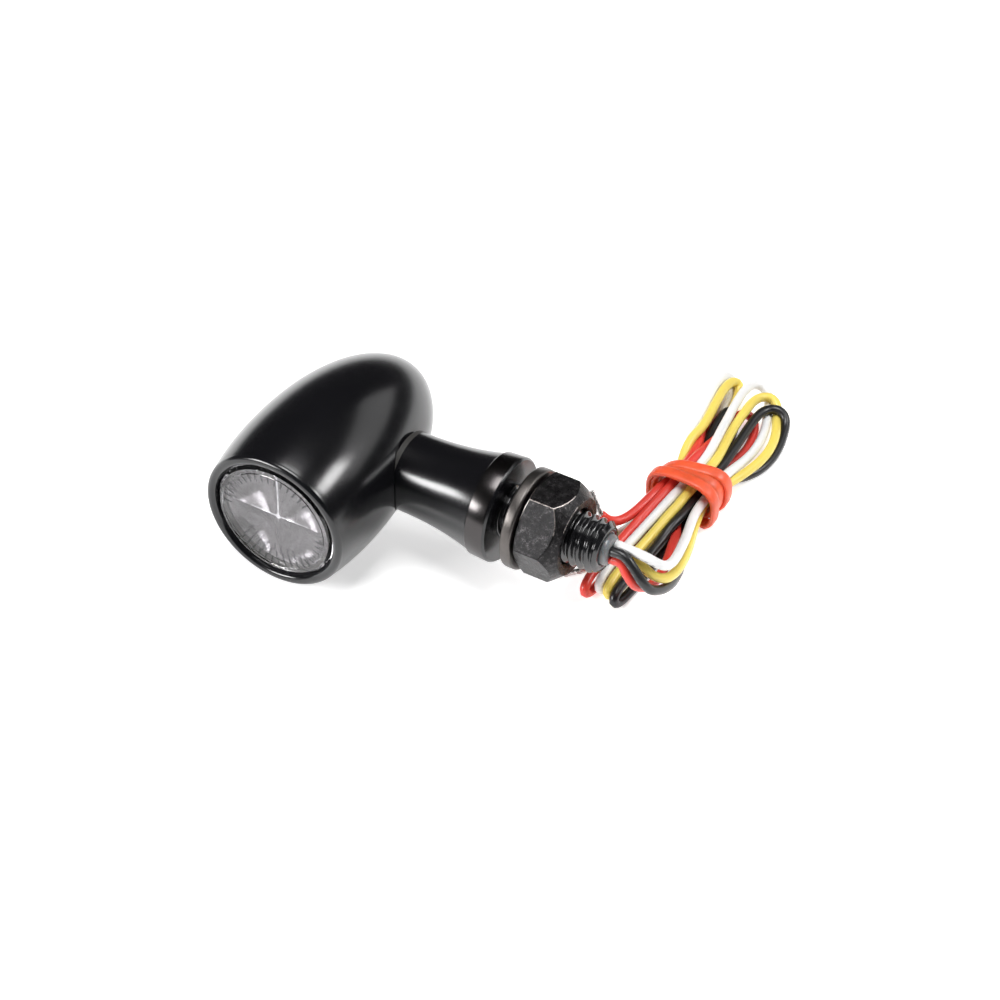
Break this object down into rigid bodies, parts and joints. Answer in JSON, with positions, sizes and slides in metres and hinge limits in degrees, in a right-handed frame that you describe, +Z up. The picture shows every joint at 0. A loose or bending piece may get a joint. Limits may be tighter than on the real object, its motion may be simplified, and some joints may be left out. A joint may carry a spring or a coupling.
{
  "type": "turn signal indicator",
  "caption": "Bullet-shaped LED turn signal on a flared stem with a hollow M8 stud, lock washer, hex nut and a tied hank of leads.",
  "frame": {"origin": "centre of the flange's seat face, on the stud's axis, where the bracket's hole is centred", "axes": "+X out along the stud, -Y the way the light shines, +Z up"},
  "size_m": [0.0631, 0.0724, 0.024],
  "materials": {
    "gloss_black": "gloss",
    "black_steel": "satin",
    "washer_steel": "satin",
    "smoked_lens": "gloss",
    "clear_optic": "gloss",
    "black_rubber": "matte",
    "silicone": "satin",
    "board_white": "satin",
    "led_phosphor": "gloss",
    "board_green": "satin",
    "chip_black": "matte",
    "capacitor_tan": "matte",
    "pin_brass": "satin",
    "lead_black": "semi-gloss",
    "lead_red": "semi-gloss",
    "lead_yellow": "semi-gloss",
    "lead_white": "semi-gloss",
    "band_rubber": "satin",
    "tinned_copper": "satin"
  },
  "bodies": {
    "root": {"housing": "gloss_black", "stem": "gloss_black", "threaded_stud": "black_steel", "lens": "smoked_lens", "collimator_optic": "clear_optic", "lens_seal": "black_rubber", "stem_seal": "black_rubber", "cable_seal": "silicone", "led_board": "board_white", "led_packages": "led_phosphor", "driver_board": "board_green", "driver_resistors": "chip_black", "driver_regulator": "chip_black", "protection_diode": "chip_black", "filter_capacitor": "capacitor_tan", "link_pins": "pin_brass", "inner_lead_black": "lead_black", "inner_lead_red": "lead_red", "inner_lead_yellow": "lead_yellow", "inner_lead_white": "lead_white", "lead_black": "lead_black", "lead_red": "lead_red", "lead_yellow": "lead_yellow", "lead_white": "lead_white", "lead_hank": "lead_yellow", "rubber_band": "band_rubber", "tinned_end_black": "tinned_copper", "tinned_end_red": "tinned_copper", "tinned_end_yellow": "tinned_copper", "tinned_end_white": "tinned_copper"},
    "washer": {"lock_washer": "washer_steel"},
    "nut": {"hex_nut": "black_steel"}
  },
  "joints": [
    {"name": "washer_slide", "type": "slide", "parent": "root", "child": "washer", "axis": [1, 0, 0], "range_m": [-0.00187, 0.00375]},
    {"name": "nut_spin", "type": "hinge", "parent": "washer", "child": "nut", "pos_m": [0.007, 0, 0], "axis": [1, 0, 0], "range_deg": [-540, 1080]}
  ],
  "couplings": [
    {"joint": "nut_spin", "follows": "washer_slide", "rad_per_m": 5026.5}
  ]
}
